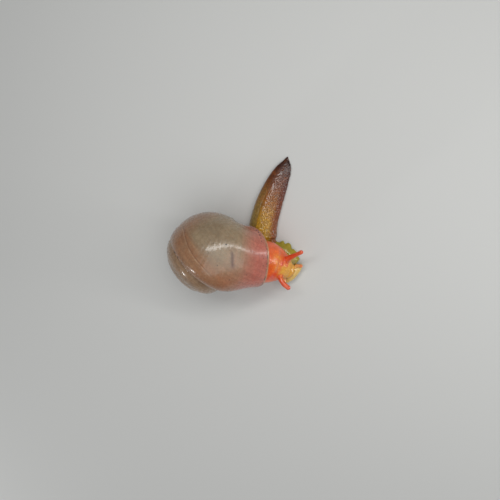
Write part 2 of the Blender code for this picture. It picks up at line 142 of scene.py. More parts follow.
# Body stations, as the solids have them: x, y, half width and height of tail and foot; x, y, z, half width
# and half height of neck and lobe; x, y, z and radius of the feelers, the upper two first.
TAIL_STATIONS = (
    (8.75, 19.8, 0.12, 0.35),
    (8.08, 17.6, 1.5, 1.0),
    (6.74, 15.0, 2.2, 1.55),
    (5.55, 12.4, 2.60, 1.95),
    (4.50, 9.8, 2.85, 2.3),
    (3.60, 7.0, 2.95, 2.6),
    (3.05, 4.3, 3.05, 2.8),
    (2.95, 1.2, 2.95, 2.9),
)
FOOT_STATIONS = (
    (0.3, -0.5, 1.9, 1.6),
    (1.6, -0.7, 3.1, 1.9),
    (3.2, -1.2, 3.4, 2.0),
    (4.9, -1.6, 3.6, 2.0),
    (6.7, -2.2, 3.7, 2.0),
    (8.2, -3.0, 3.05, 1.8),
    (9.4, -3.9, 2.5, 1.5),
)
NECK_STATIONS = (
    (1.2, 0.1, 9.3, 3.7, 3.8),
    (2.6, -0.6, 7.3, 4.0, 4.0),
    (4.6, -1.9, 4.9, 4.35, 4.1),
    (6.2, -2.65, 3.8, 3.85, 3.4),
    (7.4, -3.25, 3.2, 3.05, 2.8),
    (8.2, -3.75, 2.8, 2.35, 2.1),
    (8.6, -4.0, 2.55, 1.8, 1.5),
)
LOBE_STATIONS = (
    (11.35, -3.05, 1.5, 0.35, 0.4),
    (10.85, -3.55, 1.5, 0.7, 0.8),
    (9.95, -4.6, 1.45, 0.85, 1.1),
    (9.05, -5.65, 1.4, 0.8, 1.0),
    (8.3, -6.5, 1.35, 0.45, 0.6),
)
FEELERS = (
    ((8.1, -1.9, 4.4, 1.0), (9.5, -0.95, 5.4, 0.62), (11.0, -0.2, 6.2, 0.45), (12.3, 0.45, 6.8, 0.45)),
    ((7.2, -3.9, 4.6, 0.95), (7.6, -5.1, 5.6, 0.6), (8.35, -6.3, 6.0, 0.53), (9.3, -7.1, 6.0, 0.5)),
    ((10.5, -3.15, 1.9, 0.5), (11.0, -3.1, 2.2, 0.4), (11.6, -3.1, 2.5, 0.32)),
    ((7.75, -5.95, 2.0, 0.5), (7.75, -6.75, 2.25, 0.4), (8.1, -7.4, 2.35, 0.32)),
)
MOUTH_DROP = 0.45
MOUTH_REACH = 0.92
# The foot margin bends in at each point x, y by a depth, or out where that is less than 0, over a radius.
MARGIN_BENDS = (
    (7.3, 1.9, 1.1, 0.5),
    (8.55, 1.05, -0.7, 0.85),
    (9.75, 0.15, 0.75, 0.5),
    (10.0, -0.9, 0.5, 0.4),
    (5.3, 2.2, 0.4, 0.5),
    (5.0, -5.4, 0.55, 0.45),
    (7.0, -5.5, 0.55, 0.45),
)
FRILL_DEPTH = 0.14
FRILL_LENGTH = 2.3
CREASE_Y = 2.45

# Relief of the fused skin: depths in millimetres of the tail's furrow, the crease behind the neck and the
# mouth, and the granules' reach in granule sizes.
FURROW_DEPTH = 0.05
CREASE_DEPTH = 0.35
MOUTH_DEPTH = 0.14
GRANULE_REACH = 0.62
FINE_GRANULE_REACH = 0.66

# The forms that the skin is fused from, and patches of colour on head and neck as x, y, z and radius.
ZONES = ("tail", "foot", "neck", "lobe", "feeler", "collar")
FACE_SPOTS = (
    (9.05, -3.44, 5.6, 1.7), (9.42, -2.66, 5.2, 1.4), (8.4, -4.4, 5.8, 1.5), (9.4, -4.0, 4.4, 1.8),
    (10.29, -2.49, 3.5, 1.4), (10.1, -3.3, 3.0, 1.6), (9.0, -4.9, 3.6, 1.5),
)
RED_SPOTS = (
    (8.75, -1.6, 5.2, 1.0), (8.2, -1.9, 6.3, 0.75), (8.9, -2.3, 5.3, 0.6), (6.9, -4.8, 5.6, 0.95),
    (7.6, -4.75, 5.9, 0.7), (6.13, -4.27, 7.0, 1.2),
)
TAN_SPOTS = ((7.36, -1.06, 7.5, 1.5), (7.2, -2.2, 7.4, 1.3))

# The camera: its way from the point it looks at, its distance and how many pixels a millimetre takes there.
CAMERA_LEAN = math.radians(15.0)
CAMERA_TURN = math.radians(30.0)
CAMERA_DISTANCE = 160.0
PIXELS_PER_MM = 4.61
PICTURE_SIDE = 500
SENSOR = 36.0

# Lights: name, direction from the point they look at, direction of the long side, distance, size, share of
# the power and colour. The three strips follow one another, so that they draw one bent streak on the shell.
LIGHTS_AIM = (0.0, 0.0, 8.0)
WARM = (1.0, 0.99, 0.97)
WHITE = (1.0, 1.0, 1.0)
LIGHTS = (
    ("strip_back", (0.006, 0.39, 0.921), (0.63, 0.25, -0.11), 150.0, (109.0, 25.0), 0.5, WARM),
    ("strip_right", (0.625, 0.327, 0.708), (0.53, -0.37, -0.29), 150.0, (112.0, 14.0), 0.3, WARM),
    ("strip_low", (0.965, 0.03, 0.26), (-0.25, 0.1, 0.96), 150.0, (76.0, 12.0), 0.12, WARM),
    ("softbox", (0.2, -0.3, 0.93), (1.0, 0.0, 0.0), 260.0, (280.0, 280.0), 2.1, (1.0, 0.99, 0.98)),
    ("flash", (0.985, -0.1, 0.12), (0.0, 1.0, 0.0), 150.0, (18.0, 22.0), 0.14, WHITE),
    ("spark", (-0.754, -0.61, 0.242), (0.0, 0.0, 1.0), 150.0, (16.0, 10.0), 0.14, WHITE),
)
STUDIO_COLOUR = (0.72, 0.75, 0.8, 1.0)
STUDIO_STRENGTH = 0.18
FLOOR_REACH = 3.0

# Settings of nodes that are used often: soft steps, products, products plus a value, and the greater of two.
SOFT = {"interpolation_type": "SMOOTHSTEP"}
TIMES = {"operation": "MULTIPLY"}
TIMES_PLUS = {"operation": "MULTIPLY_ADD"}
GREATER = {"operation": "MAXIMUM"}


def linear(colour):
    """An sRGB hex colour as linear red, green, blue and alpha."""
    parts = [int(colour[i:i + 2], 16) / 255.0 for i in (1, 3, 5)]
    return [p / 12.92 if p <= 0.04045 else ((p + 0.055) / 1.055) ** 2.4 for p in parts] + [1.0]


def unit(vectors):
    vectors = np.asarray(vectors, float)
    return vectors / np.linalg.norm(vectors, axis=-1, keepdims=True)


def smooth(t):
    t = np.clip(t, 0.0, 1.0)
    return t * t * (3.0 - 2.0 * t)


def through(stations, count):
    """Points on a smooth curve through the stations, evenly spaced in station number."""
    p = np.array(stations, float)
    p = np.vstack([2 * p[0] - p[1], p, 2 * p[-1] - p[-2]])
    t = np.linspace(0.0, len(stations) - 1.0, count)
    i = np.minimum(t.astype(int), len(stations) - 2)
    f = (t - i)[:, None]
    a, b, c, d = p[i], p[i + 1], p[i + 2], p[i + 3]
    square = 2 * a - 5 * b + 4 * c - d
    cube = 3 * b - a - 3 * c + d
    return 0.5 * (2 * b + (c - a) * f + square * f ** 2 + cube * f ** 3)


def tube_faces(rows, around):
    """Quads of a closed tube of rows times around points."""
    i = np.arange(rows - 1)[:, None] * around
    j = np.arange(around)[None, :]
    k = (j + 1) % around
    return np.stack([i + j, i + k, i + around + k, i + around + j], -1).reshape(-1, 4)


def new_object(name, points, faces, attributes, material):
    """An object in metres, in the part's frame, with a float attribute for each named array of values."""
    mesh = bpy.data.meshes.new(name)
    mesh.from_pydata(((points + PLACE) * MM).tolist(), [], [list(face) for face in faces])
    for key, values in attributes.items():
        layer = mesh.attributes.new(key, "FLOAT", "POINT")
        layer.data.foreach_set("value", np.ascontiguousarray(values, dtype=np.float32))
    mesh.materials.append(material)
    mesh.validate()
    mesh.shade_smooth()
    obj = bpy.data.objects.new(name, mesh)
    bpy.context.scene.collection.objects.link(obj)
    return obj


def add_node(tree, kind, inputs=(), output=0, stops=(), **settings):
    """Adds a shader node and gives back one of its outputs. Its inputs come by place or by name, and a colour
    ramp's stops are a place with an sRGB hex colour, three linear values or a grey."""
    node = tree.nodes.new("ShaderNode" + kind)
    for key, value in settings.items():
        setattr(node, key, value)
    for key, value in inputs.items() if isinstance(inputs, dict) else enumerate(inputs):
        if isinstance(value, bpy.types.NodeSocket):
            tree.links.new(value, node.inputs[key])
        else:
            node.inputs[key].default_value = value
    for n, (place, colour) in enumerate(stops):
        elements = node.color_ramp.elements
        stop = elements[n] if n < len(elements) else elements.new(place)
        stop.position = place
        stop.color = linear(colour) if isinstance(colour, str) else (*np.broadcast_to(colour, 3), 1.0)
    return node.outputs[output] if node.outputs else None


def empty_material(name):
    """A material with no nodes, and the function that adds nodes to it."""
    material = bpy.data.materials.new(name)
    material.use_nodes = True
    material.node_tree.nodes.clear()
    return material, partial(add_node, material.node_tree)


def coil_middle(turn):
    """Middle of the shell's tube in the coil's own frame; turn angles are 0 at the lip and less before it."""
    turns = turn / TAU
    bend = np.maximum((turn + BEND_ARC) / BEND_ARC, 0.0)
    radius = SHELL_COIL_RADIUS * RADIUS_GROWTH ** turns + BEND_DRIFT * bend ** 2
    radius = radius * (APEX_SHARE + (1.0 - APEX_SHARE) * smooth((turns + SHELL_WHORLS) / APEX_TURNS))
    height = SPIRE_LIFT * np.maximum(-turns - 1.0, 0.0) - SHELL_COIL_DROP * DROP_GROWTH ** turns
    height = height - BEND_SLOPE * SHELL_COIL_RADIUS * BEND_ARC / 2 * bend ** 2
    shift = smooth((-turns - SPIRE_SHIFT_FROM) / SPIRE_SHIFT_TURNS)
    x = radius * np.cos(turn) + SPIRE_SHIFT[0] * shift
    y = -radius * np.sin(turn) + SPIRE_SHIFT[1] * shift
    return np.stack([x, y, height], -1)


def coil_frame():
    axis = unit(SHELL_AXIS)
    side = np.array(LIP_SIDE)
    side = unit(side - side.dot(axis) * axis)
    return np.stack([side, np.cross(axis, side), axis], 1)


def placed(points):
    """Points of the coil's own frame in the snail's."""
    return (points - coil_middle(np.array([0.0]))) @ coil_frame().T + np.array(LIP_CENTRE)


def in_coil(points):
    """Points of the snail's frame in the coil's own."""
    return (points - np.array(LIP_CENTRE)) @ coil_frame() + coil_middle(np.array([0.0]))


def nearest(places, points):
    """For each point, the number of the place that is nearest to it."""
    tree = kdtree.KDTree(len(places))
    for n, place in enumerate(places):
        tree.insert(place, n)
    tree.balance()
    return np.array([tree.find(point)[1] for point in points])


def bump(angle, centre, spread):
    """A bell curve round a section angle."""
    off = (angle - centre + math.pi) % TAU - math.pi
    return np.exp(-(off / spread) ** 2)


def section_swell(turn, around):
    """How much wider than its oval the section is, at the lip's corner and at the shoulder by the suture."""
    corner = LIP_CORNER * smooth((turn + LIP_CORNER_ARC) / LIP_CORNER_ARC)
    shoulder = SHOULDER_SWELL * smooth(-turn / SHOULDER_ARC)
    swell = 1.0 + corner * bump(around, LIP_CORNER_AT, LIP_CORNER_SPREAD)
    return swell + shoulder * bump(around, SHOULDER_AT, SHOULDER_SPREAD)


def tube_sections(turn):
    """For each turn angle: the section's middle, way ahead, two section axes, half sizes and inner reach."""
    middle = coil_middle(turn)
    ahead = unit(coil_middle(turn + 1e-4) - coil_middle(turn - 1e-4))
    outward = np.stack([np.cos(turn), -np.sin(turn), np.zeros_like(turn)], -1)
    outward = unit(outward - (outward * ahead).sum(-1, keepdims=True) * ahead)
    up = np.cross(outward, ahead)
    up *= np.sign(up[:, 2:])
    flat, lift = math.cos(SECTION_LEAN), math.sin(SECTION_LEAN)
    scale = SECTION_GROWTH ** (turn / TAU)
    scale = scale * (1.0 - LIP_NARROWING * smooth((turn + LIP_ARC) / LIP_ARC))
    belly = 1.0 + BELLY_SWELL * np.exp(-((turn + BELLY_CENTRE) / BELLY_SPREAD) ** 2)
    step = 0.02
    before, here, after = (coil_middle(turn + s) for s in (-step, 0.0, step))
    speed = (after - before) / (2 * step)
    push = (after - 2 * here + before) / step ** 2
    way = unit(speed)
    push = push - way * (push * way).sum(-1, keepdims=True)
    reach = (speed ** 2).sum(-1) / np.linalg.norm(push, axis=-1) * CORE_SHARE
    return {
        "turn": turn, "middle": middle, "ahead": ahead, "speed": np.linalg.norm(speed, axis=-1),
        "first": outward * flat + up * lift, "second": up * flat - outward * lift,
        "width": SHELL_HALF_WIDTH * scale, "height": SHELL_HALF_HEIGHT * scale, "belly": belly,
        "inward": unit(push), "reach": reach,
    }


def oval_rings(turn, around, grow=0.0):
    """Rings of the tube in the snail's frame, one for each turn angle, at the given angles around it."""
    s = tube_sections(turn)
    grow = np.broadcast_to(grow, turn.shape)[:, None]
    swell = section_swell(turn[:, None], around[None, :])
    low_side = (np.sin(around) < 0)[None, :]
    width = s["width"][:, None] * swell + grow
    height = s["height"][:, None] * swell * np.where(low_side, s["belly"][:, None], 1.0) + grow
    arm = s["first"][:, None] * (width * np.cos(around))[..., None]
    arm = arm + s["second"][:, None] * (height * np.sin(around))[..., None]
    past = np.maximum((arm * s["inward"][:, None]).sum(-1) - s["reach"][:, None], 0.0)
    return placed(s["middle"][:, None] + arm - s["inward"][:, None] * past[..., None])


def shell_rings(turn, around, grow=0.0):
    """Rings slanted near the lip, so that the lip reaches further at its upper left."""
    rings = oval_rings(turn, around, grow)
    ahead = oval_rings(turn + LIP_SLANT, around, grow)
    off = np.abs((around - LIP_SLANT_AT + math.pi) % TAU - math.pi)
    reach = np.maximum(np.cos(np.minimum(off * LIP_SLANT_RATE, math.pi / 2)), 0.0)
    share = smooth((turn + RECESS_ARC) / RECESS_ARC)[:, None] * reach[None, :]
    return rings + (ahead - rings) * share[..., None]


def gap_to_other_whorl(points, turn):
    """Rough distance in millimetres from the tube's points to the next whorl, less than 0 inside it."""
    steps = 3600
    far = 9.0
    table = tube_sections(np.linspace(-SHELL_WHORLS * TAU, 0.0, steps))
    first, last = table["turn"][[0, -1]]
    local = in_coil(points)
    best = np.full(len(points), far)
    for shift in (-TAU, TAU):
        guess = turn + shift
        for _ in range(6):
            n = np.clip(np.round((guess - first) / (last - first) * (steps - 1)), 0, steps - 1).astype(int)
            arm = local - table["middle"][n]
            ahead = (arm * table["ahead"][n]).sum(-1)
            here = guess
            guess = table["turn"][n] + np.clip(ahead / table["speed"][n], -0.5, 0.5)
        across = (arm * table["first"][n]).sum(-1)
        height = (arm * table["second"][n]).sum(-1)
        half = table["height"][n] * np.where(height < 0, table["belly"][n], 1.0)
        across, height = across / table["width"][n], height / half
        swell = section_swell(table["turn"][n], np.arctan2(height, across))
        gap = (np.hypot(across, height) - swell) * np.sqrt(table["width"][n] * half)
        beside = (np.abs(ahead) < 0.4) & (np.abs(here - turn) > 0.55 * TAU)
        best = np.minimum(best, np.where(beside, gap, far))
    return best


def outline_of_spire(axis_shift):
    """The convex outline of the small whorls round the coil's axis, as points of radius and height."""
    turn = np.linspace(-SHELL_WHORLS * TAU, -FLUSH_FROM * TAU, 900)
    rings = in_coil(oval_rings(turn, np.linspace(0.0, TAU, 90))).reshape(-1, 3)
    flat = np.column_stack([np.linalg.norm(rings[:, :2] - axis_shift, axis=1), rings[:, 2]])
    flat = flat[np.lexsort((flat[:, 0], -flat[:, 1]))]
    hull = []
    for point in flat:
        while len(hull) > 1:
            (x, y), (u, v) = hull[-1] - hull[-2], point - hull[-2]
            if x * v - y * u < 0.0:
                break
            hull.pop()
        hull.append(point)
    hull = np.array(hull)
    hull = hull[:hull[:, 0].argmax() + 1]
    lengths = np.concatenate([[0.0], np.cumsum(np.linalg.norm(np.diff(hull, axis=0), axis=1))])
    even = np.linspace(0.0, lengths[-1], 600)
    return np.column_stack([np.interp(even, lengths, hull[:, n]) for n in (0, 1)])


def flush_spire(points, turns, degrees):
    """Fills most of the furrows between the small whorls, whose sutures hardly show on a grown shell."""
    whorl = np.where(degrees > 0.0, turns, turns + 1.0)
    share = smooth((-whorl - FLUSH_FROM) / 0.25) * smooth((whorl - FLUSH_TO) / 0.9)
    share = share * smooth(np.abs(degrees) / 20.0)
    chosen = np.nonzero(share > 0.0)[0]
    axis_shift = np.array(SPIRE_SHIFT)
    outline = outline_of_spire(axis_shift)
    local = in_coil(points[chosen])
    out = local[:, :2] - axis_shift
    radius = np.linalg.norm(out, axis=1)
    flat = np.column_stack([radius, local[:, 2]])
    no_depth = ((0, 0), (0, 1))
    near = outline[nearest(np.pad(outline, no_depth), np.pad(flat, no_depth))]
    deep = np.linalg.norm(near - flat, axis=1)
    raised = deep * (FLUSH_LEFT + (1.0 - FLUSH_LEFT) * smooth((deep - FLUSH_DEPTH) / (2.0 * FLUSH_DEPTH)))
    moved = near + (flat - near) * (raised / np.maximum(deep, 1e-6))[:, None]
    flat = flat + (moved - flat) * share[chosen][:, None]
    local[:, :2] = axis_shift + out * (flat[:, 0] / np.maximum(radius, 1e-6))[:, None]
    local[:, 2] = flat[:, 1]
    result = points.copy()
    result[chosen] = placed(local)
    return result


def wave_noise(x, waves, seed):
    """A smooth one-dimensional noise: a sum of sines of seeded rates and phases, between about -1 and 1."""
    rng = np.random.default_rng(seed)
    total = np.zeros_like(x)
    for _ in range(waves):
        total += np.sin(x * rng.uniform(0.4, 1.6) + rng.uniform(0, TAU))
    return total / math.sqrt(waves)


def shell_tints(turn, degrees):
    """Shares from 0 to 1 of the orange body behind the shell, of the new pink shell and of the smudge."""
    past_line = degrees - np.interp(turn, *zip(*SEEN_LINE))
    spread = np.interp(turn, (-0.4, -0.3, -0.2, -0.1), (16.0, 20.0, 34.0, 60.0))
    orange = smooth((past_line + spread) / spread)
    flank = smooth((-0.3 - turn) / 0.08)
    orange = np.maximum(orange, flank * np.interp(degrees, (-70.0, -30.0, 10.0), (0.35, 0.75, 1.0)))
    older = smooth((-0.55 - turn) / 0.2)
    orange = orange * (1.0 - 0.55 * older)
    pink = np.clip((turn + 0.128) / 0.09, 0.0, 1.0)
    pink = pink * (0.72 + 0.28 * smooth((degrees + 95.0) / 45.0))
    pink = np.maximum(pink, 0.3 * smooth((turn + 0.2) / 0.1) * smooth((degrees + 60.0) / 45.0))
    along = (degrees - SMUDGE_MIDDLE[1]) / SMUDGE_HALF_SIZE[1]
    off = (turn - SMUDGE_MIDDLE[0] - SMUDGE_SLOPE * (degrees - SMUDGE_MIDDLE[1])) / SMUDGE_HALF_SIZE[0]
    smudge = np.exp(-off ** 2) * smooth((1.25 - np.abs(along)) / 0.5)
    return orange, pink, smudge


def build_shell(settings):
    """The whole coiled shell as one skin: outside, rounded lip and the inner wall down to the mantle."""
    count = 208
    seam = math.radians(150.0)
    around = seam + np.linspace(0.0, TAU, count, endpoint=False)
    steps = [-SHELL_WHORLS * TAU]
    while steps[-1] < -LIP_BAND_ARC:
        steps.append(steps[-1] + RING_STEP / (0.45 + 0.55 * SECTION_GROWTH ** (steps[-1] / TAU)))
    turn = np.array(steps[:-1] + [-LIP_BAND_ARC])
    outer = shell_rings(turn, around)
    ripple = settings.growth_line_depth / MM * wave_noise(turn * 110.0, 5, 3)
    away = unit(outer - outer.mean(axis=1, keepdims=True))
    outer = outer + away * ripple[:, None, None]
    edge = -0.012
    band = np.linspace(-LIP_BAND_ARC * LIP_BAND_RAMP, edge, 8)
    half = WALL / 2 - LIP_STEP / 2
    bend = np.linspace(0.0, math.pi, 9)[1:]
    rim = np.full(len(bend), edge)
    rim_grow = -LIP_STEP - half * (1 - np.cos(bend))
    inner = np.linspace(-0.03, -RECESS_ARC, 24)
    lip = shell_rings(rim, around, rim_grow)
    lip_way = unit(shell_rings(rim + 0.01, around, rim_grow) - lip)
    rings = np.concatenate([
        outer,
        shell_rings(band, around, -LIP_STEP),
        lip + lip_way * (0.1 * np.sin(bend))[:, None, None],
        shell_rings(inner, around, -LIP_STEP - 2 * half),
    ])
    turns = np.concatenate([turn, band, rim, inner])
    stride = np.linalg.norm(np.gradient(outer, axis=0), axis=-1) / np.gradient(turn / TAU)[:, None]
    stride = np.concatenate([stride, np.full((len(turns) - len(turn), count), stride[-1].max())]).ravel()
    inside = np.repeat(turns * 0.0, count)
    inside[(len(turn) + len(band)) * count:] = 1.0
    points = rings.reshape(-1, 3)
    all_turns = np.repeat(turns, count)
    gap = gap_to_other_whorl(points, all_turns)
    hidden = (gap < -BURIED) & (inside < 0.5) & (all_turns < -0.35)
    faces = tube_faces(len(turns), count)
    faces = faces[~hidden[faces].all(axis=1)].tolist()
    degrees = np.tile(np.degrees(around), len(turns)) % 360.0
    degrees = np.where(degrees > 180.0, degrees - 360.0, degrees)
    turns = all_turns / TAU
    points = flush_spire(points, turns, degrees)
    orange, pink, smudge = shell_tints(turns, degrees)
    # The size of the section, which is 1 at the lip: soil lies thinner in the small whorls' suture, and
    # most of it lies where the last whorl meets the one before on the upper side.
    size = SECTION_GROWTH ** turns
    soil = np.interp(turns, (-1.6, -1.2, -0.36, -0.27, -0.2, -0.05), (0.0, 0.1, 0.22, 0.9, 1.0, 0.7))
    line = (degrees - np.interp(turns, *zip(*SEEN_LINE))) * math.radians(SHELL_HALF_HEIGHT)
    attributes = {
        "growth": turns,
        "around": np.tile(np.degrees(around - seam), len(rings)) / 360.0,
        "seen_line": np.where(turns < -0.5, 9.0, line),
        "suture": gap / size,
        "soil": soil,
        "stride": stride,
        "orange": orange,
        "pink": pink,
        "smudge": smudge,
        "inside": inside,
    }
    # The first ring is closed by a fan, and small balls close the top of the apex and the navel.
    faces += [[n, (n + 1) % count, len(points)] for n in range(count)]
    added = [(points[:count].mean(axis=0)[None, :], -SHELL_WHORLS)]
    apex_middle, apex_radius = APEX_BALL
    for middle, radius, whorl in (
        (placed(np.array([apex_middle]))[0], apex_radius, -SHELL_WHORLS + 0.5),
        (*NAVEL_BALL, -1.3),
    ):
        first = len(points) + sum(len(part) for part, _ in added)
        ball_points, ball_faces = ball(middle, radius)
        faces += [[corner + first for corner in face] for face in ball_faces]
        added.append((ball_points, whorl))
    points = np.vstack([points, *(part for part, _ in added)])
    points[:, 2] = np.maximum(points[:, 2], 0.0)
    growth = np.concatenate([np.full(len(part), whorl) for part, whorl in added])
    fill = {"growth": growth, "seen_line": 9.0, "suture": 9.0, "orange": 0.4}
    for key, values in attributes.items():
        attributes[key] = np.append(values, np.broadcast_to(fill.get(key, 0.0), growth.shape))
    obj = new_object("shell_skin", points, faces, attributes, shell_material(settings, attributes))
    outward(obj.data)
    return obj


def ball(middle, radius):
    """Points and faces of a ball."""
    around, rows, pole = 40, 20, 0.05
    turns = np.linspace(0.0, TAU, around, endpoint=False)
    lifts = np.linspace(pole, math.pi - pole, rows)[:, None]
    flat = np.sin(lifts)
    ways = np.stack([flat * np.cos(turns), flat * np.sin(turns), np.cos(lifts) + 0 * turns], -1)
    faces = tube_faces(rows, around).tolist()
    faces += [list(range(around)), list(range((rows - 1) * around, rows * around))]
    return np.array(middle) + radius * ways.reshape(-1, 3), faces


def outward(mesh):
    """Turns all faces outward and removes points that no face uses."""
    bm = bmesh.new()
    bm.from_mesh(mesh)
    bmesh.ops.delete(bm, geom=[vert for vert in bm.verts if not vert.link_faces], context="VERTS")
    bmesh.ops.recalc_face_normals(bm, faces=bm.faces)
    bm.to_mesh(mesh)
    bm.free()


def shell_material(settings, names):
    """Thin snail shell: aragonite under a horny olive skin, polished by crawling, so it is glossy and a
    little see-through; the newest shell at the lip shows the pink body, and growth lines cross the tube."""
    material, node = empty_material("snail_shell_olive_horn")
    mark = {key: node("Attribute", output="Fac", attribute_name=key) for key in names}
    where = node("CombineXYZ", (mark["growth"], mark["around"]))
    place = node("TexCoord", output="Object")
    # Growth lines, fine and coarse: 0.22 and 0.8 mm apart along a 60 mm turn, so 270 and 75 to a turn.
    # Spiral scratches, fine and coarse: 0.4 and 1.2 mm apart over a section 42 mm round.
    streaks = []
    for scale, detail in (((270.0, 4.0, 1.0), 2.0), ((75.0, 3.0, 1.0), 3.0),
                          ((9.0, 105.0, 1.0), 2.0), ((5.0, 36.0, 1.0), 2.0)):
        stretched = node("Mapping", {"Vector": where, "Scale": scale})
        streaks.append(node("TexNoise", {
            "Vector": stretched, "Scale": 1.0, "Detail": detail, "Roughness": 0.6}, noise_dimensions="2D"))
    fine_lines, coarse_lines, fine_spirals, coarse_spirals = streaks
    # The lines crowd at the navel and fade there, where a turn is shorter than 20 mm.
    open_part = node("MapRange", (mark["stride"], 6.0, 34.0), **SOFT)
    # Clouds of the body seen through the shell, some 4 mm across, and mottling of 0.7 mm.
    clouds = node("TexNoise", {
        "Vector": place, "Scale": 260.0, "Detail": 4.0, "Roughness": 0.6, "Distortion": 0.4})
    mottle = node("TexNoise", {"Vector": place, "Scale": 1400.0, "Detail": 3.0, "Roughness": 0.6})
    olive = np.array(settings.olive)
    colour = node("ValToRGB", (clouds,), stops=((0.3, 0.86 * olive), (0.7, 1.08 * olive)))
    # Orange-brown where the body lies close behind the shell, in soft patches.
    patchy = node("MapRange", (clouds, 0.25, 0.7, 0.65, 1.0), **SOFT)
    orange = node("Math", (mark["orange"], patchy), **TIMES)
    # Pink new shell behind the lip, whose edge follows the growth lines.
    wavy = node("Math", (coarse_lines, 0.2, mark["pink"]), **TIMES_PLUS)
    pink = node("MapRange", (wavy, 0.1, 1.1, 0.0, 0.94), **SOFT)
    # The tan edge of the lip, past the last growth step.
    edge = node("MapRange", (mark["growth"], -0.0078, -0.0068, 0.0, 0.8))
    layers = [("MIX", orange, (*settings.orange, 1.0)), ("MIX", pink, (*settings.pink, 1.0)),
              ("MIX", edge, (*settings.lip, 1.0))]
    # The older whorl's edge seen through the shell: a thin brown line with a pale line on its left. It is
    # broken by the mottling and fades at both ends.
    seen = node("MapRange", (mark["seen_line"], -1.0, 1.0))
    along = node("MapRange", (mark["growth"], -0.45, -0.1))
    ends = node("ValToRGB", (along,), stops=((0.08, 0.0), (0.24, 1.0), (0.66, 0.9), (0.86, 0.0)))
    broken = node("MapRange", (mottle, 0.3, 0.6, 0.35, 1.0), **SOFT)
    for stops, most, tint in (
        (((0.42, 0.0), (0.485, 1.0), (0.515, 1.0), (0.56, 0.0)), 0.62, "#5a3423"),
        (((0.54, 0.0), (0.60, 1.0), (0.64, 1.0), (0.74, 0.0)), 0.34, "#d2b596"),
    ):
        share = node("ValToRGB", (seen,), stops=stops)
        for other in (ends, broken, most):
            share = node("Math", (share, other), **TIMES)
        layers.append(("MIX", share, linear(tint)))
    # Fine streaks both ways, and mottling, make the shell a little darker and lighter.
    for streak, low, high in ((fine_lines, 0.96, 1.035), (coarse_lines, 0.955, 1.04),
                              (fine_spirals, 0.93, 1.07), (coarse_spirals, 0.94, 1.06), (mottle, 0.92, 1.07)):
        level = node("MapRange", (streak, 0.3, 0.7, low, high))
        layers.append(("MULTIPLY", open_part, node("CombineXYZ", (level, level, level))))
    smudge = node("Math", (mark["smudge"], 0.7), **TIMES)
    layers.append(("MIX", smudge, linear("#4a3230")))
    # Soil lies in the suture, in a dotted row at the last growth step, and in a few pits.
    crumbs = node("TexNoise", {"Vector": place, "Scale": 2200.0, "Detail": 2.0, "Roughness": 0.6})
    seam = node("MapRange", (mark["suture"], 0.42, 0.08, 0.0, 0.9), **SOFT)
    seam = node("Math", (seam, mark["soil"]), **TIMES)
    broken = node("MapRange", (crumbs, 0.4, 0.62, 0.3, 1.0), **SOFT)
    seam = node("Math", (seam, broken), **TIMES)
    row = node("MapRange", (mark["growth"], -0.02, 0.0))
    row = node("ValToRGB", (row,), stops=((0.42, 0.0), (0.53, 1.0), (0.64, 1.0), (0.72, 0.0)))
    outside = node("Math", (1.0, mark["inside"]), operation="SUBTRACT")
    dots = node("MapRange", (crumbs, 0.5, 0.58), **SOFT)
    for other in (outside, dots):
        row = node("Math", (row, other), **TIMES)
    soil = node("Math", (seam, row), **GREATER)
    # The crumbs' edges are uneven by up to 0.2 mm.
    uneven = node("TexNoise", {"Vector": place, "Scale": 3500.0, "Detail": 1.0}, "Color")
    uneven = node("VectorMath", (uneven, (SPECK_UNEVEN,) * 3, place), **TIMES_PLUS)
    for turn, degrees, radius in SPECKS:
        spot = shell_rings(np.array([turn * TAU]), np.array([math.radians(degrees)]))[0, 0]
        spot = tuple((spot + PLACE) * MM + SPECK_UNEVEN / 2)
        far = node("VectorMath", (uneven, spot), "Value", operation="DISTANCE")
        speck = node("MapRange", (far, radius * MM * 1.25, radius * MM * 0.6, 0.0, 0.95), **SOFT)
        soil = node("Math", (soil, speck), **GREATER)
    layers.append(("MIX", soil, linear("#170f0a")))
    for blend, share, over in layers:
        colour = node("Mix", {"Factor": share, "A": colour, "B": over}, "Result",
                          data_type="RGBA", blend_type=blend)
    # The shell is glossy and soil is matt.
    rough = node("MapRange", (mottle, 0.3, 0.7, 0.2, 0.34))
    matt = node("Math", (soil, 0.85), **TIMES)
    rough = node("Math", (rough, matt), **GREATER)
    relief = node("Math", (fine_spirals, 0.5, fine_lines), **TIMES_PLUS)
    relief = node("Math", (coarse_lines, 0.9, relief), **TIMES_PLUS)
    relief = node("Math", (relief, open_part), **TIMES)
    relief = node("Math", (mottle, 2.6, relief), **TIMES_PLUS)
    bumps = node("Bump", {"Height": relief, "Strength": 0.5, "Distance": 0.000025})
    shader = node("BsdfPrincipled", {
        "Base Color": colour, "Roughness": rough, "Normal": bumps, "IOR": 1.5,
        "Subsurface Weight": 0.25, "Subsurface Radius": (1.0, 0.6, 0.4), "Subsurface Scale": 0.0009,
        "Coat Weight": 0.4, "Coat Roughness": 0.1}, subsurface_method="RANDOM_WALK")
    node("OutputMaterial", (shader,))
    return material


def back_profile(half_width, height):
    """Section of the foot or tail: a flat sole, a thin rim at each side and a rounded back."""
    sole_share, rim = 0.82, min(0.45, height * 0.5)
    sole = [(u * sole_share * half_width, 0.0) for u in np.linspace(-1.0, 1.0, 9)]
    return sole + [(half_width * math.cos(t), rim + (height - rim) * math.sin(t) ** 0.85)
                   for t in np.linspace(0.0, math.pi, 40)]


def margin_depth(point):
    """How far the foot margin bends in at a point of the floor."""
    return sum(depth * math.exp(-(math.dist(point, (x, y)) / radius) ** 2)
               for x, y, depth, radius in MARGIN_BENDS)


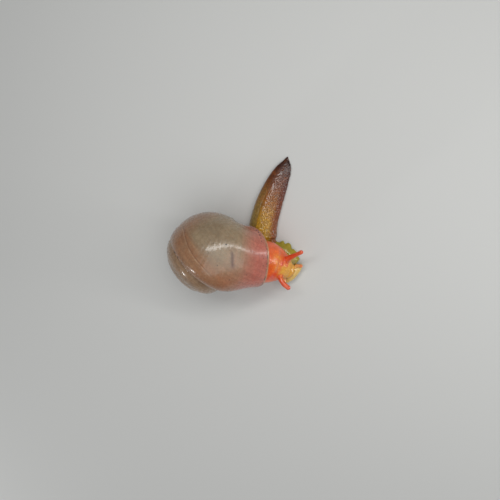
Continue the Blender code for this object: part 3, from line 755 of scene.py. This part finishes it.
def strip_rows(stations, rows, frill=0.0):
    """Rings of a crawling strip and, for each point, how far along and across the strip it lies."""
    path = through(stations, rows)
    middles = path[:, :2]
    ways = unit(np.gradient(middles, axis=0))
    lengths = np.concatenate([[0.0], np.cumsum(np.linalg.norm(np.diff(middles, axis=0), axis=1))])
    rings, along, across = [], [], []
    for n, (middle, way, length) in enumerate(zip(middles, ways, lengths)):
        half_width, height = path[n, 2:]
        side = np.array([-way[1], way[0]])
        wave = frill * math.sin(TAU * length / FRILL_LENGTH)
        ring = []
        for u, z in back_profile(half_width, height):
            edge = smooth((abs(u) / half_width - 0.75) / 0.25) * math.exp(-((z - 0.4) / 0.5) ** 2)
            across.append(u / half_width)
            if frill:
                u += math.copysign((wave - margin_depth(middle + side * u)) * edge, u)
            ring.append([*(middle + side * u), z])
            along.append(n / (rows - 1))
        rings.append(ring)
    return np.array(rings), np.array(along), np.array(across)


def dome(ring, way, depth, bends):
    """Rings that close the end of a tube by a dome."""
    middle = ring.mean(axis=0)
    return [middle + (ring - middle) * math.cos(bend) + way * depth * math.sin(bend) for bend in bends]


def oval_rows(stations, rows, around):
    """Rings of a closed tube of oval section with domed ends, and how far along it each point lies."""
    path = through(stations, rows)
    ways = unit(np.gradient(path[:, :3], axis=0))
    sides = unit(np.cross(ways, (0.0, 0.0, 1.0)))
    ups = np.cross(sides, ways)
    t = np.linspace(0, TAU, around, endpoint=False)
    rings = path[:, None, :3] + sides[:, None] * (path[:, 3, None] * np.cos(t))[..., None]
    rings = rings + ups[:, None] * (path[:, 4, None] * np.sin(t))[..., None]
    bends = np.linspace(0.15, 1.5, 8)
    start = dome(rings[0], -ways[0], min(path[0, 3:]), bends)
    finish = dome(rings[-1], ways[-1], min(path[-1, 3:]), bends)
    rings = np.array([*reversed(start), *rings, *finish])
    along = np.linspace(0.0, 1.0, len(rings))
    return rings, np.repeat(along, around), np.zeros(len(rings) * around)


def closed_piece(rings):
    """Points and faces of a closed body from rings, the ends filled by fans."""
    rows, around = rings.shape[:2]
    points = rings.reshape(-1, 3)
    faces = tube_faces(rows, around).tolist()
    n = len(points)
    for start, middle in ((0, n), ((rows - 1) * around, n + 1)):
        faces += [[start + i, start + (i + 1) % around, middle] for i in range(around)]
    points = np.vstack([points, rings[0].mean(axis=0), rings[-1].mean(axis=0)])
    return points, faces


def body_pieces():
    """Every form of the body as rings, its zone and its along and across values."""
    pieces = [
        ("tail", *strip_rows(TAIL_STATIONS, 160)), ("foot", *strip_rows(FOOT_STATIONS, 110, FRILL_DEPTH)),
        ("neck", *oval_rows(NECK_STATIONS, 90, 80)), ("lobe", *oval_rows(LOBE_STATIONS, 50, 36)),
    ]
    for stations in FEELERS:
        pieces.append(("feeler", *oval_rows([(*s, s[3]) for s in stations], 40, 28)))
    count = 96
    turn = np.linspace(-RECESS_ARC + 0.05, 0.02, 20)
    plug = shell_rings(turn, np.linspace(0.0, TAU, count, endpoint=False), -WALL - 0.08)
    way = unit(plug[-1].mean(axis=0) - plug[-2].mean(axis=0))
    rings = np.concatenate([plug, np.array(dome(plug[-1], way, 0.5, np.linspace(0.1, 1.5, 12)))])
    along = np.repeat(np.linspace(0, 1, len(rings)), count)
    return pieces + [("collar", rings, along, np.zeros(len(along)))]


def granule_distance(verts, size, seed):
    """Distance in granule sizes from each point to the nearest of one random point in every cube of space."""
    q = verts / size
    cube = np.floor(q).astype(np.int64)
    best = np.full(len(q), 9.0)
    for dx, dy, dz in np.ndindex(3, 3, 3):
        c = cube + np.array([dx - 1, dy - 1, dz - 1])
        # Whole numbers mixed from the cube's place give the random point's three shares, in steps of 1/1024.
        h = (c[:, 0] * 73856093) ^ (c[:, 1] * 19349663) ^ (c[:, 2] * 83492791) ^ (seed * 2654435)
        spot = []
        for _ in range(3):
            h = (h * 1103515245 + 12345) & 0x7FFFFFFF
            spot.append((h >> 8) % 1024 / 1024.0)
        best = np.minimum(best, np.linalg.norm(c + np.stack(spot, -1) - q, axis=1))
    return best


def tail_granules(verts, size):
    """How high points lie on the tail's granules, squared: 1 on top. Granules are longer along the tail."""
    near = granule_distance(verts * np.array([1.0, 0.72, 1.0]), size, 5)
    return np.maximum(1.0 - (near / GRANULE_REACH) ** 2, 0.0)


def relax(values, edges, rounds):
    """Evens out point values over the mesh's edges."""
    a, b = edges[:, 0], edges[:, 1]
    degree = np.bincount(edges.ravel(), minlength=len(values)).astype(float)
    for _ in range(rounds):
        columns = []
        for column in values.reshape(len(values), -1).T:
            total = np.bincount(a, column[b], len(values)) + np.bincount(b, column[a], len(values))
            columns.append(column + 0.5 * (total / np.maximum(degree, 1.0) - column))
        values = np.stack(columns, -1).reshape(values.shape)
    return values


def mesh_values(items, key, width, kind=float):
    """One property of all points or edges of a mesh, as rows of the given width."""
    values = np.empty(len(items) * width, dtype=kind)
    items.foreach_get(key, values)
    return values.reshape(-1, width)


def build_skin(settings):
    """One skin over foot, tail, neck, head, lobe, feelers and collar, with its grain raised in the mesh."""
    points, faces, tags = [], [], []
    base = 0
    for zone, rings, along, across in body_pieces():
        piece_points, piece_faces = closed_piece(rings)
        points.append(piece_points)
        faces += [[i + base for i in face] for face in piece_faces]
        marks = np.zeros((len(piece_points), len(ZONES) + 2))
        marks[:, ZONES.index(zone)] = 1.0
        marks[:len(along), -2] = along
        marks[len(along):, -2] = (along[0], along[-1])
        marks[:len(across), -1] = across
        tags.append(marks)
        base += len(piece_points)
    points = np.vstack(points)
    tags = np.vstack(tags)
    # The forms are fused on a fine grid; the mesh is in millimetres here, which the fusing needs.
    mesh = bpy.data.meshes.new("fused")
    mesh.from_pydata(points.tolist(), [], faces)
    mesh.update()
    outward(mesh)
    raw = bpy.data.objects.new("fused", mesh)
    bpy.context.scene.collection.objects.link(raw)
    remesh = raw.modifiers.new("fuse", "REMESH")
    remesh.mode = "VOXEL"
    remesh.voxel_size = settings.grid_size / MM
    fused = bpy.data.meshes.new_from_object(raw.evaluated_get(bpy.context.evaluated_depsgraph_get()))
    bpy.data.objects.remove(raw)
    verts = mesh_values(fused.vertices, "co", 3)
    edges = mesh_values(fused.edges, "vertices", 2, np.int64)
    near = nearest(points, verts)
    marks = relax(tags[near], edges, 6)
    floor = verts[:, 2] < 0.12
    soft = relax(verts, edges, 14)
    verts = np.where(floor[:, None], verts, soft)
    fused.vertices.foreach_set("co", verts.ravel())
    fused.update()
    normals = mesh_values(fused.vertices, "normal", 3)
    zone = {name: marks[:, n] for n, name in enumerate(ZONES)}
    along, across = marks[:, -2], marks[:, -1]
    height = skin_relief(verts, zone, along, across, settings)
    verts = verts + normals * (height * ~floor)[:, None]
    verts[:, 2] = np.maximum(verts[:, 2], 0.0)
    attributes = skin_marks(verts, zone, along, across, settings)
    polygons = [tuple(p.vertices) for p in fused.polygons]
    obj = new_object("snail_skin", verts, polygons, attributes, skin_material(settings, attributes))
    bpy.data.meshes.remove(fused)
    return obj


def skin_relief(verts, zone, along, across, settings):
    """Height of the skin's grain in millimetres: big granules on the tail, finer ones on neck and head."""
    size = settings.granule_size / MM
    fine = granule_distance(verts, size * 0.7, 11)
    fine = np.sqrt(np.maximum(1.0 - (fine / FINE_GRANULE_REACH) ** 2, 0.0))
    tail = zone["tail"] * (0.1 + 0.9 * smooth((across + 0.3) / 0.5))
    coarse = np.sqrt(tail_granules(verts, size))
    granules = settings.granule_height / MM * (tail * coarse + 0.25 * zone["neck"] * fine)
    # The crease where the tail meets the neck, and the mouth, a groove along the front of the lobe.
    crease = np.exp(-((verts[:, 1] - CREASE_Y) / 0.28) ** 2) * np.clip(zone["tail"] + zone["foot"], 0, 1)
    mouth = mouth_mark(verts) * zone["lobe"]
    furrow = furrow_mark(zone, along, across)
    cut = FURROW_DEPTH * furrow + CREASE_DEPTH * crease * (verts[:, 2] > 0.3) + MOUTH_DEPTH * mouth
    return granules - cut


def furrow_mark(zone, along, across):
    """How near points are to the bottom of the tail's furrow: 1 in it."""
    return np.exp(-((across + 0.42) / 0.09) ** 2) * zone["tail"] * smooth((along - 0.3) / 0.3)


def mouth_mark(verts):
    """How near points are to the line of the mouth: 1 on it."""
    path = through(LOBE_STATIONS, 60)[6:-6]
    ways = unit(np.gradient(path[:, :2], axis=0))
    front = np.stack([-ways[:, 1], ways[:, 0]], -1) * path[:, 3, None] * MOUTH_REACH
    line = np.column_stack([path[:, :2] + front, path[:, 2] - MOUTH_DROP])
    far = np.full(len(verts), 9.0)
    for point in line:
        far = np.minimum(far, np.linalg.norm(verts - point, axis=1))
    return np.exp(-(np.maximum(far - 0.08, 0.0) / 0.14) ** 2)


def near_segment(verts, stations):
    """Distance from points to a feeler's middle line less its radius, and how far along it they are."""
    path = through(stations, 40)
    best = np.full(len(verts), 9.0)
    share = np.zeros(len(verts))
    for n, (x, y, z, r) in enumerate(path):
        d = np.linalg.norm(verts - (x, y, z), axis=1) - r
        share = np.where(d < best, n / (len(path) - 1), share)
        best = np.minimum(best, d)
    return best, share


def spots_mark(verts, spots):
    """A soft value from 0 to 1 round the given places of x, y, z and radius."""
    best = np.zeros(len(verts))
    for x, y, z, radius in spots:
        far = np.linalg.norm(verts - (x, y, z), axis=1)
        best = np.maximum(best, np.exp(-(far / radius) ** 2))
    return best


def skin_marks(verts, zone, along, across, settings):
    """Where each tint of the skin lies, as values from 0 to 1 that the material lays over one another.
    Among them are painted shade in the creases, and the granules' height for their painted highlight and
    shade.
    """
    granule = tail_granules(verts, settings.granule_size / MM)
    tips, lower = np.zeros(len(verts)), np.zeros(len(verts))
    for n, stations in enumerate(FEELERS):
        far, share = near_segment(verts, stations)
        tips = np.maximum(tips, zone["feeler"] * smooth((share - 0.5) / 0.45) * (far < 0.6))
        lower = np.maximum(lower, zone["feeler"] * (far < 0.3) * (n > 1))
    # Painted shade: darker where the lobe and the foot meet the other forms, in the tail's furrow and in the
    # mouth.
    painted_crease_shade = np.maximum(4.0 * zone["lobe"] * (1.0 - zone["lobe"]), 4.0 * zone["foot"] * (1.0 - zone["foot"]))
    painted_crease_shade = np.maximum(painted_crease_shade, 0.75 * furrow_mark(zone, along, across))
    return {
        "tail_zone": zone["tail"],
        "tail_way": np.clip(1.0 - along, 0.0, 1.0) * zone["tail"],
        "tail_side": across,
        "foot_zone": zone["foot"],
        "lobe_zone": zone["lobe"],
        "feeler_zone": zone["feeler"],
        "feeler_tip": tips,
        "lower_feeler": lower,
        "collar_zone": zone["collar"],
        "face_zone": spots_mark(verts, FACE_SPOTS) * (1 - zone["lobe"]),
        "red_zone": spots_mark(verts, RED_SPOTS),
        "tan_zone": spots_mark(verts, TAN_SPOTS),
        "painted_crease_shade": np.maximum(painted_crease_shade, mouth_mark(verts) * zone["lobe"]),
        "granule": granule * zone["tail"] + 0.6 * (1.0 - zone["tail"]),
    }


def skin_material(settings, names):
    """Living snail skin, wet with slime: soft flesh that lets light in, glossy granules, strong carotene
    orange on neck and head, yellow to dark red-brown on the tail. Painted shade darkens the tail towards its
    tip, the creases and the furrows between granules, and a painted highlight makes the granules' tops paler."""
    material, node = empty_material("snail_skin_wet")
    mark = {key: node("Attribute", output="Fac", attribute_name=key) for key in names}
    place = node("TexCoord", output="Object")
    # Blotches of pigment about 1.5 mm across, and pigment grains about 0.3 mm across.
    blotch = node("TexNoise", {"Vector": place, "Scale": 700.0, "Detail": 4.0, "Roughness": 0.6})
    grain = node("TexNoise", {"Vector": place, "Scale": 3300.0, "Detail": 2.0, "Roughness": 0.5})
    neck = np.array(settings.neck)
    colour = node("ValToRGB", (blotch,), stops=((0.3, 0.86 * neck), (0.7, 1.12 * neck)))
    # The tail goes from yellow to dark brown towards its tip: partly its own colour, partly painted shade,
    # as if the tip lay farther from the light. It has an olive left flank and a red-brown right one, which is
    # also painted darker towards the tip, and warm orange seeps into the yellow between the granules.
    tail = node("ValToRGB", (mark["tail_way"],), stops=(
        (0.0, "#bd9722"), (0.28, "#b88a1e"), (0.45, "#9c6215"), (0.65, "#733a0f"), (0.85, "#451b07"),
        (1.0, "#280e04")))
    left = node("MapRange", (mark["tail_side"], -0.3, -0.5, 0.0, 0.8), **SOFT)
    right = node("MapRange", (mark["tail_side"], 0.42, 0.85, 0.0, 0.92), **SOFT)
    low = node("MapRange", (mark["tail_way"], 0.75, 0.3), **SOFT)
    left = node("Math", (left, low), **TIMES)
    dark_right = node("ValToRGB", (mark["tail_way"],), stops=(
        (0.1, "#853e10"), (0.55, "#642408"), (0.9, "#300f04")))
    warm = node("MapRange", (blotch, 0.5, 0.75, 0.0, 0.4), **SOFT)
    for share, over in ((left, linear("#8b7540")), (right, dark_right), (warm, linear("#96501c"))):
        tail = node("Mix", {"Factor": share, "A": tail, "B": over}, "Result", data_type="RGBA")
    layers = []
    for key, over, most in (
        ("tan_zone", linear("#e08030"), 0.6),
        ("face_zone", (*settings.face, 1.0), 0.9),
        ("red_zone", linear("#d23a1a"), 0.75),
        ("foot_zone", (*settings.foot, 1.0), 0.95),
        ("tail_zone", tail, 1.0),
        ("collar_zone", linear("#cf6a30"), 0.9),
        ("feeler_zone", linear("#cf4824"), 0.9),
        ("lower_feeler", linear("#d9a266"), 0.9),
        ("lobe_zone", linear("#d6b86c"), 0.95),
        ("feeler_tip", linear("#d8603c"), 0.6),
    ):
        share = node("MapRange", (mark[key], 0.1, 0.75, 0.0, most), **SOFT)
        layers.append(("MIX", share, over))
    # Golden grains lie over the orange on top of the neck.
    gold = node("Math", (mark["tan_zone"], mark["face_zone"]), **GREATER)
    grains = node("MapRange", (grain, 0.52, 0.66, 0.0, 0.6), **SOFT)
    gold = node("Math", (gold, grains), **TIMES)
    layers.append(("MIX", gold, linear("#f2c25a")))
    # Painted shade in the creases: dark brown where lobe and foot meet the other forms, in the tail's furrow
    # and the mouth.
    painted_crease_shade = node("MapRange", (mark["painted_crease_shade"], 0.45, 1.0, 0.0, 0.55), **SOFT)
    layers.append(("MIX", painted_crease_shade, linear("#6e3a1c")))
    # Painted highlight on the granules' tops, which are made paler, and painted shade in the furrows
    # between them, which are made darker; pigment grains fleck the skin lighter and darker at random.
    painted_granule_light = node("MapRange", (mark["granule"], 0.0, 1.0, 0.68, 1.2))
    fleck = node("MapRange", (grain, 0.3, 0.7, 0.9, 1.1))
    level = node("Math", (painted_granule_light, fleck), **TIMES)
    layers.append(("MULTIPLY", 0.85, node("CombineXYZ", (level, level, level))))
    for blend, share, over in layers:
        colour = node("Mix", {"Factor": share, "A": colour, "B": over}, "Result",
                          data_type="RGBA", blend_type=blend)
    rough = node("MapRange", (grain, 0.3, 0.7, 0.28, 0.46))
    bumps = node("Bump", {"Height": grain, "Strength": 0.4, "Distance": 0.00005})
    shader = node("BsdfPrincipled", {
        "Base Color": colour, "Roughness": rough, "Normal": bumps, "IOR": 1.4,
        "Subsurface Weight": 0.3, "Subsurface Radius": (1.0, 0.55, 0.3), "Subsurface Scale": 0.0005,
        "Coat Weight": 0.6, "Coat Roughness": 0.07}, subsurface_method="RANDOM_WALK")
    node("OutputMaterial", (shader,))
    return material


def floor_material(settings):
    """Matt paper of a photographer's table: pale, rough and hardly shiny."""
    material, node = empty_material("matt_paper")
    shader = node("BsdfPrincipled", {
        "Base Color": (*settings.floor, 1.0), "Roughness": 0.85, "Specular IOR Level": 0.25})
    node("OutputMaterial", (shader,))
    return material


def set_up(name, data, spot, axes):
    """Sets a camera or light at a spot of the snail's frame, along its right, upper and back axes."""
    obj = bpy.data.objects.new(name, data)
    turn = Matrix(np.stack(axes, 1).tolist()).to_4x4()
    obj.matrix_world = Matrix.Translation(Vector((PLACE + spot) * MM)) @ turn
    bpy.context.scene.collection.objects.link(obj)
    return obj


def add_camera():
    """The camera, which looks at the frame's zero with the picture's right side level."""
    lean, turn = CAMERA_LEAN, CAMERA_TURN
    back = np.array([math.sin(lean) * math.cos(turn), math.sin(lean) * math.sin(turn), math.cos(lean)])
    right = unit(np.array([1.0, 0.0, 0.0]) - back[0] * back)
    data = bpy.data.cameras.new("camera")
    data.sensor_width = SENSOR
    data.lens = PIXELS_PER_MM * CAMERA_DISTANCE / PICTURE_SIDE * SENSOR
    data.clip_start = 0.005
    data.clip_end = 10.0
    axes = (right, np.cross(back, right), back)
    bpy.context.scene.camera = set_up("camera", data, back * CAMERA_DISTANCE, axes)


def add_light(name, way, along, distance, size, power, colour):
    """A soft rectangular light that looks at the shell from a direction, its long side along another."""
    data = bpy.data.lights.new(name, "AREA")
    data.shape = "RECTANGLE"
    data.size, data.size_y = (side * MM for side in size)
    data.energy = power
    data.color = colour
    way = unit(way)
    first = unit(np.array(along) - np.dot(along, way) * way)
    set_up(name, data, np.array(LIGHTS_AIM) + way * distance, (first, np.cross(way, first), way))


def colour_setting(name, description, colour):
    """A colour property, its default an sRGB hex colour."""
    return FloatVectorProperty(
        name=name, description=description, subtype="COLOR", default=linear(colour)[:3], min=0.0, max=1.0)


def length_setting(name, description, default, least, most):
    """A length property in metres."""
    return FloatProperty(
        name=name, description=description, default=default, min=least, max=most, unit="LENGTH", precision=6)


class SnailShellSettings(bpy.types.PropertyGroup):
    growth_line_depth: length_setting(
        "Growth line depth", "How far the growth lines stand out", 0.000006, 0.0, 0.0001)
    olive: colour_setting("Shell colour", "Olive horn colour of the older shell", "#927f66")
    orange: colour_setting("Body tint", "Where the body shows through the shell", "#96694a")
    pink: colour_setting("New shell colour", "Pink shell behind the lip", "#b16658")
    lip: colour_setting("Lip colour", "Pale tan edge of the lip", "#ab8563")


class SnailSkinSettings(bpy.types.PropertyGroup):
    grid_size: length_setting(
        "Fusing grid", "Grid on which the body's forms are fused", 0.000062, 0.00005, 0.0005)
    granule_size: length_setting(
        "Granule size", "Distance between the skin's granules", 0.00031, 0.0001, 0.002)
    granule_height: length_setting(
        "Granule height", "How far the tail's granules stand up", 0.00008, 0.0, 0.0005)
    neck: colour_setting("Neck colour", "Orange of neck and head", "#e8621c")
    face: colour_setting("Face colour", "Yellow-orange between the feelers", "#d69e34")
    foot: colour_setting("Foot margin colour", "Yellow-green edge of the foot", "#98902a")


class SnailStageSettings(bpy.types.PropertyGroup):
    floor: colour_setting("Floor colour", "Pale paper floor", "#c9cac8")
    key_power: FloatProperty(
        name="Key light", description="Power of the main soft light", default=0.15, min=0.0, max=20.0,
        unit="POWER")


class OBJECT_OT_snail_shell(bpy.types.Operator):
    """Builds the coiled shell with its lip"""
    bl_idname = "object.snail_shell"
    bl_label = "Shell"

    def execute(self, context):
        obj = build_shell(context.scene.snail_shell)
        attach(obj, "root")
        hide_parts("shell")
        return {"FINISHED"}


class OBJECT_OT_snail_skin(bpy.types.Operator):
    """Builds the one skin of foot, tail, neck, head, feelers and mantle collar"""
    bl_idname = "object.snail_skin"
    bl_label = "Skin"

    def execute(self, context):
        obj = build_skin(context.scene.snail_skin)
        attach(obj, "root")
        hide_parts(*[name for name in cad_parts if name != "shell"])
        return {"FINISHED"}


class OBJECT_OT_snail_stage(bpy.types.Operator):
    """Builds the floor, the lights and the camera"""
    bl_idname = "object.snail_stage"
    bl_label = "Stage"

    def execute(self, context):
        settings = context.scene.snail_stage
        mesh = bpy.data.meshes.new("floor")
        corners = [(x * FLOOR_REACH, y * FLOOR_REACH, 0.0) for x, y in ((-1, -1), (1, -1), (1, 1), (-1, 1))]
        mesh.from_pydata(corners, [], [(0, 1, 2, 3)])
        mesh.materials.append(floor_material(settings))
        floor = bpy.data.objects.new("floor", mesh)
        context.scene.collection.objects.link(floor)
        add_camera()
        for name, way, along, distance, size, share, colour in LIGHTS:
            add_light(name, way, along, distance, size, settings.key_power * share, colour)
        world = bpy.data.worlds.new("studio")
        world.use_nodes = True
        background = world.node_tree.nodes["Background"].inputs
        background["Color"].default_value = STUDIO_COLOUR
        background["Strength"].default_value = STUDIO_STRENGTH
        context.scene.world = world
        context.scene.view_settings.view_transform = "Standard"
        return {"FINISHED"}


class VIEW3D_PT_snail(bpy.types.Panel):
    """Lists the snail's pieces and their settings"""
    bl_label = "Snail"
    bl_space_type = "VIEW_3D"
    bl_region_type = "UI"
    bl_category = "Snail"

    def draw(self, context):
        for name, _ in GROUPS:
            settings = getattr(context.scene, name)
            column = self.layout.column()
            column.operator("object." + name)
            for key in settings.bl_rna.properties.keys():
                if key not in ("rna_type", "name"):
                    column.prop(settings, key)


GROUPS = (
    ("snail_shell", SnailShellSettings),
    ("snail_skin", SnailSkinSettings),
    ("snail_stage", SnailStageSettings),
)
CLASSES = (OBJECT_OT_snail_shell, OBJECT_OT_snail_skin, OBJECT_OT_snail_stage, VIEW3D_PT_snail)


def register():
    for key, group in GROUPS:
        bpy.utils.register_class(group)
        setattr(bpy.types.Scene, key, PointerProperty(type=group))
    for cls in CLASSES:
        bpy.utils.register_class(cls)


def unregister():
    for cls in reversed(CLASSES):
        bpy.utils.unregister_class(cls)
    for key, group in reversed(GROUPS):
        delattr(bpy.types.Scene, key)
        bpy.utils.unregister_class(group)


def main():
    register()
    bpy.ops.object.snail_shell()
    bpy.ops.object.snail_skin()
    bpy.ops.object.snail_stage()


if __name__ == "__main__":
    main()
